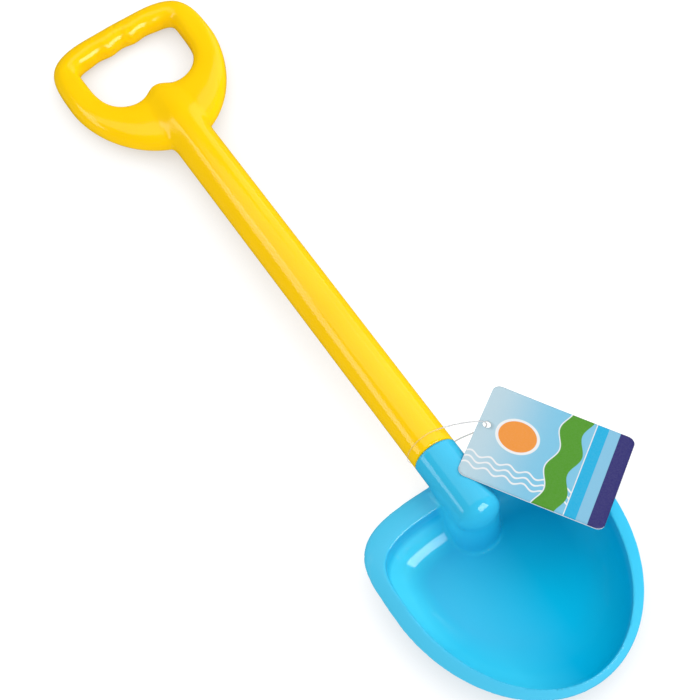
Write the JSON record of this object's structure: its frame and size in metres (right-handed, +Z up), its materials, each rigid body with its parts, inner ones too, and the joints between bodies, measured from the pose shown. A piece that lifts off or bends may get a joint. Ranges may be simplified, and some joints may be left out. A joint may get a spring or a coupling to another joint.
{
  "type": "sand shovel",
  "caption": "Long sand shovel with a dished blue scoop, a socketed yellow shaft and a D grip, with a blank card tag on a clear loop.",
  "frame": {"origin": "on the ground, in the flat underside of the scoop, under its widest line, as the shovel lies on its back", "axes": "+Y along the shovel from the tip of the scoop to the grip, +Z up, out of the scoop's hollow, +X across"},
  "size_m": [0.1733, 0.552, 0.05],
  "materials": {
    "scoop_plastic": "glossy injection moulded polypropylene, sky blue",
    "handle_plastic": "glossy blow moulded polyethylene, warm yellow, slightly wavy",
    "tag_card": "coated card printed in pale blue, green and navy",
    "loop_plastic": "clear moulded plastic"
  },
  "bodies": {
    "shovel": {"scoop": "scoop_plastic", "handle": "handle_plastic"},
    "loop": {"tag_loop": "loop_plastic"},
    "tag": {"hang_tag": "tag_card"}
  },
  "joints": [
    {"name": "loop_swing", "type": "hinge", "parent": "shovel", "child": "loop", "pos_m": [0, 0.07349, 0.03354], "axis": [0, -0.9979, 0.0651], "range_deg": [0, 100]},
    {"name": "tag_swivel", "type": "hinge", "parent": "loop", "child": "tag", "pos_m": [0.03446, 0.0642, 0.0372], "axis": [0.3315, 0.0614, 0.9414], "range_deg": [-25, 25]}
  ]
}
